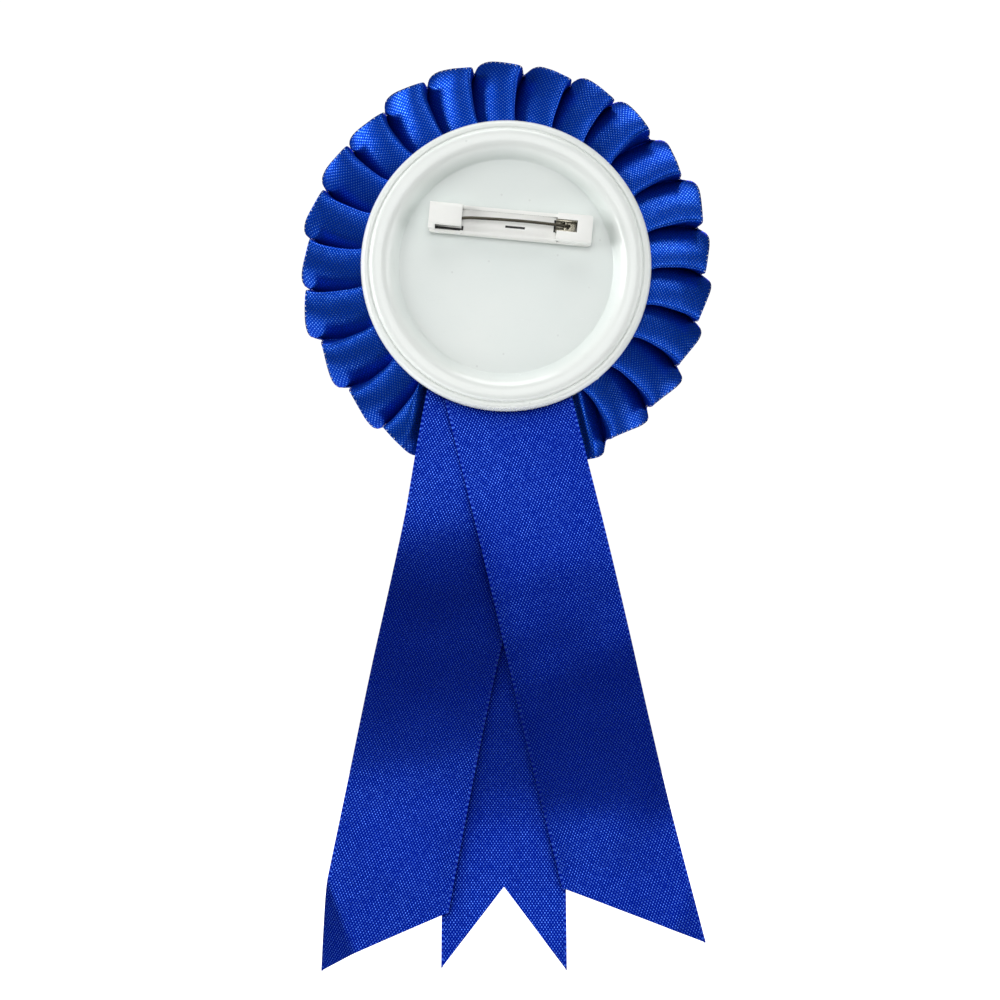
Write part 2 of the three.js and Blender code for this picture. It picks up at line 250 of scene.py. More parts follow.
def newTree(name, inputs, outputs=None):
    # an empty Geometry Nodes tree; an input is named with its default, or with its type where it has none
    tree = bpy.data.node_groups.new(name, "GeometryNodeTree")
    kinds = {float: "NodeSocketFloat", int: "NodeSocketInt", bpy.types.Material: "NodeSocketMaterial",
             bpy.types.Mesh: "NodeSocketGeometry"}
    for label, value in inputs.items():
        kind = value if isinstance(value, type) else type(value)
        socket = tree.interface.new_socket(label, in_out="INPUT", socket_type=kinds[kind])
        if kind in (float, int):
            socket.default_value = value
    for label, kind in (outputs or {"Geometry": "NodeSocketGeometry"}).items():
        tree.interface.new_socket(label, in_out="OUTPUT", socket_type=kind)
    add = partial(addNode, tree)
    return tree, add, add("NodeGroupInput").outputs, add("NodeGroupOutput").inputs


def finished(tree, geometry, given, result):
    # real mesh, shaded smooth, in the tree's material
    add = partial(addNode, tree)
    real = add("GeometryNodeRealizeInstances", [geometry])
    smooth = add("GeometryNodeSetShadeSmooth", {"Geometry": real})
    done = add("GeometryNodeSetMaterial", {"Geometry": smooth, "Material": given["Material"]})
    tree.links.new(done.outputs[0], result["Geometry"])
    return tree


def grown(name, tree, values, base=None):
    # runs a Geometry Nodes tree on a mesh and keeps the result as plain mesh
    piece = bpy.data.objects.new(name, base.copy() if base else bpy.data.meshes.new(name))
    scene.collection.objects.link(piece)
    modifier = piece.modifiers.new(tree.name, "NODES")
    modifier.node_group = tree
    for item in tree.interface.items_tree:
        if item.in_out == "INPUT" and item.name in values:
            modifier[item.identifier] = values[item.name]
    return settled(piece)


def fitted(piece, body, material, slot, *nodes):
    # the last step of a piece that moves with one body
    piece.data.materials.clear()
    piece.data.materials.append(material)
    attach(piece, body)
    if nodes:
        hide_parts(*nodes)
    return piece


# ---- materials

def newMaterial(name):
    # an empty material, what adds its nodes, and the place on the object in metres
    material = bpy.data.materials.new(name)
    material.use_nodes = True
    tree = material.node_tree
    tree.nodes.clear()
    add = partial(addNode, tree)
    return material, add, add("TexCoord").outputs["Object"]


def surfaced(material, inputs, relief=None):
    # the last step of a material: what its shader is given, and its relief as (height, distance, strength)
    add = partial(addNode, material.node_tree)
    if relief:
        inputs["Normal"] = add("Bump", dict(zip(("Height", "Distance", "Strength"), relief)))
    add("OutputMaterial", {"Surface": add("BsdfPrincipled", inputs)})
    return material


satinSettings = {
    # float spacing across and along the ribbon, the selvedge band and its weft turns
    "across": 0.63, "lengthwise": 0.88, "selvedge": 0.4, "turn": 1.1, "width": 25.0,
    # in each colour set, shade, reach, closed and open set the painted shade in creases: its colour, the
    # occlusion distance, and the occlusion where it is full and where it fades out
    "tail": {"deep": "00127C", "base": "001A88", "glint": "5080EA", "edge": "021684", "shade": "00003C",
             "gleam": 0.84, "reach": 0.006, "closed": 0.35, "open": 0.9},
    "ruffle": {"deep": "002EA0", "base": "003CB0", "glint": "649CF6", "edge": "022C8A", "shade": "00107C",
               "gleam": 0.62, "reach": 0.003, "closed": 0.1, "open": 0.66},
}


def polyesterSatin(name, colours):
    # woven polyester satin: long warp floats tied down at staggered points, so it glints in tiny lozenges
    # and turns dark where it faces away from the light; both edges are woven tighter
    s = satinSettings
    material, add, body = newMaterial(name)
    place = add("SeparateXYZ", [add("UVMap", uv_map="ribbonMap")])
    length, across = place.outputs["X"], place.outputs["Y"]
    wander = add("TexNoise", {"Vector": body, "Scale": 240, "Detail": 2})
    shifted = add("Math", [wander, 0.16, across], operation="MULTIPLY_ADD")
    ribs, rows, edgeRows = (
        add("Math", [add("Math", [place, 2 * math.pi / pitch], operation="MULTIPLY")], operation="COSINE")
        for place, pitch in ((shifted, s["across"]), (length, s["lengthwise"]), (length, s["turn"])))
    lattice = add("Math", [ribs, rows], operation="MULTIPLY")
    floats = add("MapRange", [lattice, 0.2, 1.0], interpolation_type="SMOOTHSTEP")
    fromEdge = add("Math", [across, s["width"] / 2], operation="SUBTRACT")
    fromMiddle = add("Math", [fromEdge], operation="ABSOLUTE")
    band = add("MapRange",
               [fromMiddle, s["width"] / 2 - s["selvedge"] - 0.15, s["width"] / 2 - s["selvedge"] + 0.1])
    turns = add("MapRange", {0: edgeRows, 1: -0.3, 2: 0.9, 4: 0.45}, interpolation_type="SMOOTHSTEP")
    weave = add("Mix", {0: band, 2: floats, 3: turns})
    # floats catch the light unevenly, thread by thread
    uneven = add("TexNoise", {"Vector": body, "Scale": 1500, "Detail": 2, "Roughness": 0.6})
    spread = add("MapRange", [uneven, 0.32, 0.66, 0.3, 1.15])
    cloud = add("TexNoise", {"Vector": body, "Scale": 42, "Detail": 1})
    patches = add("MapRange", [cloud, 0.35, 0.65, 0.78, 1.0])
    lively = add("Math", [spread, patches], operation="MULTIPLY")
    glint = add("Math", [weave, lively], operation="MULTIPLY")
    ground = add("Mix", {0: cloud, 6: linear(colours["deep"]), 7: linear(colours["base"])},
                 data_type="RGBA")
    edged = add("Mix", {0: band, 6: ground, 7: linear(colours["edge"])}, data_type="RGBA")
    lit = add("Mix", {0: glint, 6: edged, 7: linear(colours["glint"])}, data_type="RGBA")
    # painted shade: the colour is pulled towards the shade colour where ambient occlusion finds the cloth
    # diving under the next layer
    shadeOcclusion = add("AmbientOcclusion", {"Distance": colours["reach"]}, samples=8)
    crease = add("MapRange", [shadeOcclusion.outputs["AO"], colours["closed"], colours["open"], 1, 0])
    colour = add("Mix", {0: crease, 6: lit, 7: linear(colours["shade"])}, data_type="RGBA")
    gleam = add("MapRange", [glint, 0.0, 0.5, colours["gleam"], 1.0])
    rough = add("MapRange", {0: glint, 3: 0.38, 4: 0.2})
    tangent = add("Tangent", direction_type="UV_MAP", uv_map="ribbonMap")
    return surfaced(material, {
        "Base Color": colour, "Metallic": gleam, "Roughness": rough,
        "Tangent": tangent, "Anisotropic": 0.4, "Specular IOR Level": 0.12,
        "Specular Tint": linear("4A6CFF")}, (weave, 0.00005, 0.24))


def polyesterThread(name, colour):
    # loose weft turns and sewing thread: the same fibre, unpressed, so softer in its shine
    material, add, body = newMaterial(name)
    twist = add("TexWave", {"Vector": body, "Scale": 900, "Distortion": 2}, bands_direction="DIAGONAL")
    turns = twist.outputs["Fac"]
    dark = [c * 0.55 for c in linear(colour)[:3]] + [1]
    shade = add("Mix", {0: turns, 6: dark, 7: linear(colour)}, data_type="RGBA")
    return surfaced(material, {
        "Base Color": shade, "Roughness": 0.55,
        "Specular IOR Level": 0.2}, (turns, 0.00003))


def mouldedStyrene():
    # injection-moulded high-impact polystyrene: a hard white gloss with slight sink, faint scuffs and dust
    material, add, body = newMaterial("moulded polystyrene, glossy white")
    sink = add("TexNoise", {"Vector": body, "Scale": 55, "Detail": 2})
    scuffed = add("Mapping", {"Vector": body, "Rotation": (0, 0.5, 0), "Scale": (1, 1, 7)})
    scuff = add("TexNoise", {"Vector": scuffed, "Scale": 260, "Detail": 6, "Roughness": 0.7})
    marks = add("MapRange", [scuff, 0.6, 0.75])
    specks = add("TexVoronoi", {"Vector": body, "Scale": 210})
    dust = add("MapRange", [specks.outputs["Distance"], 0.03, 0.06, 0.3, 0])
    # painted shade: the pan is coloured a little greyer than the raised rim, for the shade it takes under
    # the studio light
    fromAxis = add("VectorMath", [body, (1, 0, 1)], operation="MULTIPLY")
    radius = add("VectorMath", [fromAxis], operation="LENGTH").outputs["Value"]
    clearOfPanShade = add("MapRange", [radius, 0.0214, 0.0242], interpolation_type="SMOOTHSTEP")
    wall = add("Mix", {0: clearOfPanShade, 6: linear("D8E2DF"), 7: linear("EFF3F0")}, data_type="RGBA")
    white = add("Mix", {0: sink, 6: wall, 7: linear("E9EEEA")}, data_type="RGBA")
    worn = add("Math", [marks, 0.25], operation="MULTIPLY")
    scraped = add("Mix", {0: worn, 6: white, 7: linear("CBD2D0")}, data_type="RGBA")
    dusty = add("Mix", {0: dust, 6: scraped, 7: linear("B9BDBA")}, data_type="RGBA")
    rough = add("MapRange", {0: marks, 3: 0.2, 4: 0.36})
    height = add("Math", [marks, 0.05, sink], operation="MULTIPLY_ADD")
    return surfaced(material, {
        "Base Color": dusty, "Roughness": rough,
        "IOR": 1.58}, (height, 0.00025, 0.35))


def mouldedPolypropylene():
    # injection-moulded polypropylene: whiter and waxier than the back, with painted shade that darkens its
    # recesses nearly to black
    material, add, body = newMaterial("moulded polypropylene, waxy white")
    grain = add("TexNoise", {"Vector": body, "Scale": 420, "Detail": 4})
    white = add("Mix", {0: grain, 6: linear("EFF1EC"), 7: linear("F8F8F5")}, data_type="RGBA")
    # painted shade: ambient occlusion darkens slots and inner corners towards near black
    shadeOcclusion = add("AmbientOcclusion", {"Distance": 0.0024}, samples=16)
    paintedRecessShade = add("MapRange", [shadeOcclusion.outputs["AO"], 0.3, 0.52, 1, 0])
    colour = add("Mix", {0: paintedRecessShade, 6: white, 7: linear("05060A")}, data_type="RGBA")
    rough = add("MapRange", {0: grain, 3: 0.3, 4: 0.45})
    return surfaced(material, {
        "Base Color": colour, "Roughness": rough,
        "IOR": 1.49}, (grain, 0.00004, 0.4))


def metal(name, dull, bright, stretch, grain, roughness):
    # drawn wire, pressed clip and rolled sheet: the grain follows how the steel was worked
    material, add, body = newMaterial(name)
    drawn = add("Mapping", {"Vector": body, "Scale": stretch})
    lines = add("TexNoise", {"Vector": drawn, "Scale": grain, "Detail": 4, "Roughness": 0.6})
    colour = add("Mix", {0: lines, 6: linear(dull), 7: linear(bright)}, data_type="RGBA")
    rough = add("MapRange", {0: lines, 3: roughness - 0.08, 4: roughness + 0.1})
    return surfaced(material, {
        "Base Color": colour, "Roughness": rough,
        "Metallic": 1.0}, (lines, 0.00002, 0.5))


def porous(name, dark, light, scale, roughness, depth):
    # foam tape, grey board, hot-melt glue: matt to satin, finely uneven
    material, add, body = newMaterial(name)
    cells = add("TexNoise", {"Vector": body, "Scale": scale, "Detail": 6, "Roughness": 0.65})
    colour = add("Mix", {0: cells, 6: linear(dark), 7: linear(light)}, data_type="RGBA")
    return surfaced(material, {"Base Color": colour, "Roughness": roughness}, (cells, depth * mm, 0.7))


faceSettings = {"ringInner": 20.6, "ringOuter": 22.0, "star": 15.5, "starWaist": 6.6,
                "paper": "F2F3F1", "ink": "17319A"}


def printedPaper():
    # coated paper, printed with a plain ring and a five-pointed star, pressed smooth under the film
    s = faceSettings
    material, add, body = newMaterial("coated paper, printed")
    flat = add("VectorMath", [body, (1 / mm, 0, 1 / mm)], operation="MULTIPLY")
    radius = add("VectorMath", [flat], operation="LENGTH").outputs["Value"]
    place = add("SeparateXYZ", [flat])
    turn = add("Math", [place.outputs["X"], place.outputs["Z"]], operation="ARCTAN2")
    point, half = 2 * math.pi / 5, math.pi / 5
    centred = add("Math", [turn, half], operation="ADD")
    wrapped = add("Math", [centred, point], operation="FLOORED_MODULO")
    recentred = add("Math", [wrapped, half], operation="SUBTRACT")
    fromTip = add("Math", [recentred], operation="ABSOLUTE")
    toWaist = add("Math", [half, fromTip], operation="SUBTRACT")
    sinTip = add("Math", [fromTip], operation="SINE")
    sinWaist = add("Math", [toWaist], operation="SINE")
    partTip = add("Math", [sinTip, s["star"]], operation="MULTIPLY")
    lower = add("Math", [sinWaist, s["starWaist"], partTip], operation="MULTIPLY_ADD")
    area = s["star"] * s["starWaist"] * math.sin(half)
    outline = add("Math", [area, lower], operation="DIVIDE")
    inside = add("Math", [outline, radius], operation="SUBTRACT")
    star = add("MapRange", [inside, -0.04, 0.04])
    ringMiddle = (s["ringInner"] + s["ringOuter"]) / 2
    fromRing = add("Math", [radius, ringMiddle], operation="SUBTRACT")
    offRing = add("Math", [fromRing], operation="ABSOLUTE")
    ringHalf = (s["ringOuter"] - s["ringInner"]) / 2
    ring = add("MapRange", [offRing, ringHalf - 0.03, ringHalf + 0.03, 1, 0])
    ink = add("Math", [star, ring], operation="MAXIMUM")
    fibre = add("TexNoise", {"Vector": body, "Scale": 1500, "Detail": 4})
    paper = add("Mix", {0: fibre, 6: linear("ECEDEA"), 7: linear(s["paper"])}, data_type="RGBA")
    colour = add("Mix", {0: ink, 6: paper, 7: linear(s["ink"])}, data_type="RGBA")
    return surfaced(material, {
        "Base Color": colour, "Roughness": 0.45, "Coat Weight": 0.6,
        "Coat Roughness": 0.06}, (fibre, 0.00001, 0.3))


def clearFilm():
    # clear polyester film: almost invisible, with a hard gloss and a few handling marks
    material, add, body = newMaterial("clear polyester film")
    haze = add("TexNoise", {"Vector": body, "Scale": 180, "Detail": 5, "Roughness": 0.6})
    rough = add("MapRange", [haze, 0.45, 0.8, 0.03, 0.14])
    return surfaced(material, {
        "Base Color": linear("F7FAFB"), "Roughness": rough, "Alpha": 0.14,
        "IOR": 1.6})


stageSettings = {
    "viewPoint": (-1.2, 3.0, -46.7),    # what the camera looks straight at
    "viewDistance": 300.0, "viewWidth": 200.0,
    "floorDrop": 16.0, "floorSize": 400.0, "floorBack": 110.0,
    "ambient": 0.08, "floorGlow": 0.82,
    # place, power in watts, width and height
    "lights": {
        "key softbox": ((0, -430, 38), 0.52, 240, 270),
        "left softbox": ((-420, -150, 30), 1.6, 300, 300),
        "right softbox": ((420, -150, 10), 0.75, 300, 300),
        "top softbox": ((0, -150, 420), 1.05, 300, 300),
        "button softbox": ((120, 420, 260), 1.3, 300, 300),
    },
}


def paintedFloor():
    # matt painted board under the studio light
    material, add, body = newMaterial("matt painted board")
    grain = add("TexNoise", {"Vector": body, "Scale": 60, "Detail": 3})
    colour = add("Mix", {0: grain, 6: linear("F4F4F4"), 7: linear("FAFAFA")}, data_type="RGBA")
    return surfaced(material, {
        "Base Color": colour, "Roughness": 0.9, "Emission Color": linear("FFFFFF"),
        "Emission Strength": stageSettings["floorGlow"]})


def setStage():
    s = stageSettings
    x, y, z = s["viewPoint"]
    lens = bpy.data.cameras.new("camera")
    lens.sensor_width = 36
    lens.lens = lens.sensor_width * s["viewDistance"] / s["viewWidth"]
    lens.clip_start = 0.01
    camera = bpy.data.objects.new("camera", lens)
    camera.location = Vector((x, y - s["viewDistance"], z)) * mm
    camera.rotation_euler = (math.radians(90), 0, 0)
    scene.collection.objects.link(camera)
    scene.camera = camera

    target = Vector((0, 0, z)) * mm
    for name, (place, power, width, height) in s["lights"].items():
        lamp = bpy.data.lights.new(name, "AREA")
        lamp.shape = "RECTANGLE"
        lamp.energy, lamp.size, lamp.size_y = power, width * mm, height * mm
        light = bpy.data.objects.new(name, lamp)
        light.location = Vector(place) * mm
        light.rotation_euler = (target - light.location).to_track_quat("-Z", "Y").to_euler()
        scene.collection.objects.link(light)

    world = bpy.data.worlds.new("studio")
    world.use_nodes = True
    world.node_tree.nodes.clear()
    add = partial(addNode, world.node_tree)
    seen = add("LightPath").outputs["Is Camera Ray"]
    level = add("MapRange", {0: seen, 3: s["ambient"], 4: 1.05})
    sky = add("Background", {"Color": linear("FFFFFF"), "Strength": level})
    add("OutputWorld", {"Surface": sky})
    scene.world = world
    scene.view_settings.view_transform = "Standard"

    low = cadBox[0].z / mm - s["floorDrop"]
    half = s["floorSize"] / 2
    near, far = s["floorBack"] - half, s["floorBack"] + half
    floor = addPiece("floor", [(-half, near, low), (half, near, low), (half, far, low), (-half, far, low)],
                     [(0, 1, 2, 3)])
    floor.data.materials.append(paintedFloor())


setStage()
print("stage set")


# ---- plastic back

backSettings = {
    # (radius, depth, rounding) of the side that shows: pan, inner wall, crest, groove and rolled edge
    "shown": [(0, 3, 0), (21.5, 3, 0.3), (22.15, 2.05, 0.9), (23.35, 0.66, 0.9), (24.3, 0.1, 0.9),
              (25.4, -0.08, 0.9), (26.55, 0.02, 0.7), (26.98, 0.34, 0.25), (27.25, 0.82, 0.14),
              (27.55, 0.54, 0.22),
              (28.4, 0.6, 0.6), (28.98, 1.6, 0.7), (29, 3.3, 0.3), (28.8, 4.0, 0.1)],
    "hidden": [(27.9, 4.0, 0), (27.6, 2.1, 0.3), (26.1, 1.25, 0.4), (24.7, 1.1, 0.5), (23.0, 2.6, 0.4),
               (21.6, 4.1, 0.3), (0, 4.1, 0)],
    # the nib left where the moulding was cut from its gate
    "gate": {"angle": 141, "radius": 28.85, "depth": 1.6, "size": (0.55, 0.3, 0.22)},
}


def gateNib(piece, gate):
    # a small torn lozenge joined into the outer edge
    work = bmesh.new()
    work.from_mesh(piece.data)
    turn = math.radians(gate["angle"])
    spot = Vector((gate["radius"] * math.sin(turn), gate["depth"], gate["radius"] * math.cos(turn)))
    shape = Matrix.Diagonal((*gate["size"], 1))
    lump = bmesh.ops.create_icosphere(
        work, subdivisions=3, radius=1.0,
        matrix=rosetteFrame @ Matrix.Translation(spot) @ Matrix.Rotation(turn, 4, "Y") @ shape)
    for vertex in lump["verts"]:
        bumps = [noise.noise(vertex.co * 2600 + Vector((shift, 0, 0))) for shift in (0, 17, 31)]
        vertex.co += Vector(bumps) * 0.07 * mm
    work.to_mesh(piece.data)
    work.free()
    piece.data.shade_smooth()


plasticBack = turned("moulded_back", rounded(backSettings["shown"] + backSettings["hidden"]), 240)
gateNib(plasticBack, backSettings["gate"])
fitted(plasticBack, "rosette", mouldedStyrene(), "back_plastic", "badge_back")
print("plastic back turned")


# ---- bar pin: its own frame has X along the bar, Y into the badge and Z across the bar

pinSettings = {
    "rivet": (10.9, 0.3, 0.4), "rivetRadius": 0.35, "rivetHead": 0.5, "rivetHalf": 1.14,
    "wire": 0.3, "eye": 0.715, "stemStart": 9.3, "tip": -14.2, "taper": 2.2,
    "route": [(9.3, -0.415, 0.44), (6.5, -0.41, 0.52), (3.0, -0.39, 0.56), (-1.0, -0.36, 0.52),
              (-5.0, -0.31, 0.42), (-8.2, -0.265, 0.28), (-10.0, -0.215, 0.05), (-12.6, -0.165, -0.1),
              (-14.2, -0.15, -0.13)],
    "edges": 0.13,
}


def pinFrame():
    # the swing joint's axis runs through the rivet, across the bar
    swing = joints["pin_swing"]
    across = Vector(swing["axis"]).normalized()
    inward = Vector((0, 1, 0))
    lengthwise = inward.cross(across)
    turn = Matrix((lengthwise, inward, across)).transposed().to_4x4()
    return Matrix.Translation(swing["pos_m"]) @ turn @ rosetteFrame @ Matrix.Translation(
        -Vector(pinSettings["rivet"]))


def wireEye(placing):
    # the wire comes off the top of its eye and ends beside it
    s = pinSettings
    x, y, z = s["rivet"]
    path = []
    for step in range(34, -1, -1):
        turn = math.radians(step * 10)
        path.append((x + s["eye"] * math.sin(turn), y - s["eye"] * math.cos(turn), z + 0.62 * step / 34))
    straight = s["route"][0]
    path.append((x - 0.8, straight[1], z + 0.02))
    path.append(straight)
    return wire("wire_eye", path, [s["wire"]] * len(path), placing, 20)


def wireStem(placing):
    # nearly straight, with a slight bow, and ground to a point inside the hood
    s = pinSettings
    path = smoothThrough(s["route"], 12)
    radii = []
    for spot in path:
        left = max(0.0, min(1.0, (spot[0] - s["tip"]) / s["taper"]))
        radii.append(max(0.03, s["wire"] * left ** 0.7))
    return wire("wire_stem", path, radii, placing, 20)


def rivetPin(placing):
    s = pinSettings
    half, head = s["rivetHalf"], s["rivetHead"]
    profile = rounded([(0, -half - 0.12, 0), (head, -half - 0.08, 0.12), (head, -half + 0.06, 0.03),
                       (s["rivetRadius"], -half + 0.08, 0), (s["rivetRadius"], half - 0.08, 0),
                       (head, half - 0.06, 0.03), (head, half + 0.08, 0.12), (0, half + 0.12, 0)])
    acrossBar = placing @ Matrix.Translation(s["rivet"]) @ Matrix.Rotation(math.radians(90), 4, "X")
    return turned("hinge_rivet", profile, 32, acrossBar)


barPlace = pinFrame()
nickel = metal("nickel-plated pressed steel", "7F7B6C", "C9C5B6", (1, 1, 1), 900, 0.26)
# drawn steel wire reflects in fine lengthwise lines and has dulled with handling
steelWire = metal("drawn steel wire, dulled", "2B2923", "605D53", (0.15, 1, 1), 2600, 0.34)
waxyWhite = mouldedPolypropylene()
fitted(softened("pin_bar", "bar_pin_body", pinSettings["edges"]), "rosette", waxyWhite, "pin_plastic",
       "pin_bar")
foam = porous("closed-cell foam tape", "D9D9D2", "F0F0EA", 2200, 0.9, 0.08)
fitted(softened("pin_adhesive_pad", "bar_pin_pad", 0.12), "rosette", foam, "foam_tape", "pin_adhesive_pad")
fitted(softened("pin_hinge_clip", "hinge_clip", 0.07, 2), "rosette", nickel, "clip_steel", "pin_hinge_clip")
fitted(rivetPin(barPlace), "rosette", nickel, "clip_steel", "pin_rivet")
fitted(wireEye(barPlace), "pin_eye", steelWire, "pin_wire_steel", "pin_knuckle")
stem = wireStem(barPlace)
stem.data.materials.append(steelWire)
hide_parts("pin_stem")
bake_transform(stem)
print("bar pin built")


# ---- selvedge: the weft turns round the edge thread, one turn after another

selvedgeSettings = {"pitch": 1.1, "length": 0.17, "depth": 0.17, "width": 0.13, "seed": 3}


def selvedgeTree():
    tree, add, given, result = newTree("weft turns", {
        "Geometry": bpy.types.Mesh, "Pitch": 1.0, "Half length": 1.0, "Half width": 1.0, "Half depth": 1.0,
        "Seed": 0, "Material": bpy.types.Material})
    side = add("GeometryNodeInputNamedAttribute", {"Name": "selvedge"}, data_type="FLOAT")
    onEdge = add("FunctionNodeCompare", [side, 0.99], operation="GREATER_EQUAL")
    kept = add("GeometryNodeStoreNamedAttribute",
               {"Geometry": given["Geometry"], "Name": "ribbonFace",
                "Value": add("GeometryNodeInputNormal")},
               data_type="FLOAT_VECTOR", domain="POINT")
    edge = add("GeometryNodeMeshToCurve", {"Mesh": kept, "Selection": onEdge})
    spaced = add("GeometryNodeResampleCurve", {"Curve": edge, "Length": given["Pitch"]}, mode="LENGTH")
    tangent = add("GeometryNodeInputTangent")
    faceUp = add("GeometryNodeInputNamedAttribute", {"Name": "ribbonFace"}, data_type="FLOAT_VECTOR")
    lined = add("FunctionNodeAlignRotationToVector", {"Vector": tangent}, axis="X")
    laid = add("FunctionNodeAlignRotationToVector", {"Rotation": lined, "Vector": faceUp},
               axis="Z", pivot_axis="X")
    ball = add("GeometryNodeMeshUVSphere", {"Segments": 8, "Rings": 6, "Radius": 1.0})
    size = add("CombineXYZ",
               {"X": given["Half width"], "Y": given["Half length"], "Z": given["Half depth"]})
    chance = add("FunctionNodeRandomValue", {2: 0.75, 3: 1.15, "Seed": given["Seed"]}, data_type="FLOAT")
    scale = add("VectorMath", {0: size, "Scale": chance}, operation="SCALE")
    placed = add("GeometryNodeInstanceOnPoints",
                 {"Points": spaced, "Instance": ball, "Rotation": laid, "Scale": scale})
    return finished(tree, placed, given, result)


weftTurns = selvedgeTree()


def selvedgeOf(surface, name, thread):
    s = selvedgeSettings
    values = {"Pitch": s["pitch"] * mm, "Half length": s["length"] * mm, "Half width": s["width"] * mm,
              "Half depth": s["depth"] * mm, "Seed": s["seed"], "Material": thread}
    return grown(name, weftTurns, values, surface.data)


# ---- tails: satin ribbon clamped under the back, bent where it leaves the rim and cut at the end

tailSettings = {"width": 25.0, "bend": joints["tail_right_lift"]["pos_m"][2] / mm, "top": -17.0,
                "cloth": 0.28, "rows": 250, "columns": 40, "ripple": 0.16}
# lean from straight down and where the middle crosses the bend; lengths along the two edges from the bend;
# depth lists give (z, how far the cloth stands from its layer, away from the wearer), sway lists (z,
# sideways)
tails = {
    "right": {
        "lean": 13.6, "centre": 1.2, "ends": (97.4, 107.9),
        "notch": 0, "lift": [(-40, 0), (-58, 0.6), (-90, 0.7), (-124, 0.2)], "liftSide": -1, "tuck": 0,
        "depth": [(-17, 0), (-32, 0), (-45, -1.1), (-60, -1.9), (-76, -1.8), (-92, -1.0), (-107, -0.1),
                  (-119, -1.8), (-138, -6.2)],
        "sway": [(-17, 0), (-60, 0.15), (-100, -0.2), (-141, 0.1)], "curl": 0.8,
        "crease": (9.0, 12.0, 0.7), "tipSide": 1, "seed": 3.1},
    "left": {
        "lean": -11.0, "centre": -4.1, "ends": (112.9, 101.4),
        "notch": 0, "lift": [(-36, 0), (-70, 0.3), (-110, 0.35), (-130, 0.2)], "liftSide": 1, "tuck": 2.5,
        "depth": [(-17, 0), (-30, 0), (-41, -1.1), (-53, -1.3), (-63, -0.4), (-76, 1.3), (-92, 2.7),
                  (-106, 1.7),
                  (-121, -1.8), (-141, -6.6)],
        "sway": [(-17, 0), (-50, 0.5), (-85, -0.6), (-120, -0.8), (-143, -0.4)], "curl": 0.6,
        "crease": (12.0, 18.4, 2.4), "tipSide": -1, "seed": 7.7},
    "centre": {
        "lean": 0.0, "centre": -0.4, "ends": (110.6, 111.0),
        "notch": 15.4, "lift": [(-80, 0), (-140, 0)], "liftSide": 1, "tuck": 0,
        "depth": [(-17, 0), (-32, 0), (-60, 0.9), (-90, 2.6), (-110, 2.1), (-124, -0.9), (-140, -5.0)],
        "sway": [(-17, 0), (-90, 0), (-140, 0)], "curl": 0.3,
        "crease": (6.0, 8.0, 0.3), "tipSide": 1, "seed": 12.4},
}


def tailSurface(side, tail):
    s = tailSettings
    lean, half = math.radians(tail["lean"]), s["width"] / 2
    low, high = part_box("tail_" + side)
    row, column = np.mgrid[0:s["rows"] + 1, 0:s["columns"] + 1]
    share = np.sin(np.pi * (column / s["columns"] - 0.5) * 0.86) / math.sin(np.pi * 0.43)
    across = share * half
    start = across * math.tan(lean) + (s["bend"] - s["top"]) / math.cos(lean)
    end = across * math.tan(lean) + tail["ends"][0] * (1 - share) / 2 + tail["ends"][1] * (1 + share) / 2
    end -= tail["notch"] * (1 - np.abs(share))
    length = start + (end - start) * row / s["rows"]
    x = tail["centre"] + math.cos(lean) * across + math.sin(lean) * length
    z = s["bend"] + math.sin(lean) * across - math.cos(lean) * length
    free = np.clip((s["bend"] - z) / 20, 0, 1)
    x += along(tail["sway"], z) * free
    # slow waves down the ribbon, small ripples in it, and one lower corner that curls
    ripple = [noise.noise(Vector((u * 0.09, v * 0.11, tail["seed"]))) for u,
              v in zip(across.flat, length.flat)]
    y = (low.y + high.y) / 2 / mm + along(tail["depth"], z) + s["ripple"] * free * np.reshape(ripple,
                                                                                              x.shape)
    y -= along(tail["lift"], z) * np.clip(share * tail["liftSide"], 0, 1) ** 3
    # an outer edge turns in towards its tip, and the tip itself is creased back
    corner = (np.clip((length - 70) / 45, 0, 1) * np.clip(share * tail["tipSide"], 0, 1)) ** 2
    y -= tail["curl"] * corner
    wide, tall, back = tail["crease"]
    creased = 1 - (length.max() - length) / tall - np.abs(tail["tipSide"] * half - across) / wide
    creased = np.clip(creased, 0, 1) ** 2 / (np.clip(creased, 0, 1) + 0.14)
    x -= tail["tuck"] * creased * tail["tipSide"]
    y += back * creased
    wide = s["columns"] + 1
    faces = [(i, i + 1, i + 1 + wide, i + wide)
             for first in range(0, s["rows"] * wide, wide) for i in range(first, first + s["columns"])]
    points = np.stack((x, y, z), axis=-1).reshape(-1, 3)
    flat = np.stack((length, across + half), axis=-1).reshape(-1, 2)
    surface = addPiece(side + "_tail_ribbon", points, faces, uv=flat)
    mark = surface.data.attributes.new("selvedge", "FLOAT", "POINT")
    nextToEdge = (column == 1) | (column == s["columns"] - 1)
    mark.data.foreach_set("value", nextToEdge.astype(float).ravel())
    return surface


def clothThickness(piece, thickness):
    wall = piece.modifiers.new("cloth", "SOLIDIFY")
    wall.thickness, wall.offset, wall.use_even_offset = thickness * mm, 0, False
    return settled(piece)


def bendWithTail(piece):
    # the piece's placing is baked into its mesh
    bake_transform(piece)


tailSatin = polyesterSatin("polyester satin, royal blue", satinSettings["tail"])
tailThread = polyesterThread("polyester weft, royal blue", "0C1E8C")
for side, tail in tails.items():
    surface = tailSurface(side, tail)
    turns = selvedgeOf(surface, side + "_tail_selvedge", tailThread)
    clothThickness(surface, tailSettings["cloth"])
    outward(surface, sharp=60)
    surface.data.materials.append(tailSatin)
    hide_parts("tail_" + side, "tail_" + side + "_clamped_end")
    bendWithTail(surface)
    bendWithTail(turns)
print("three tails hung")


# ---- ruffle: one ribbon in knife pleats, closed into a ring

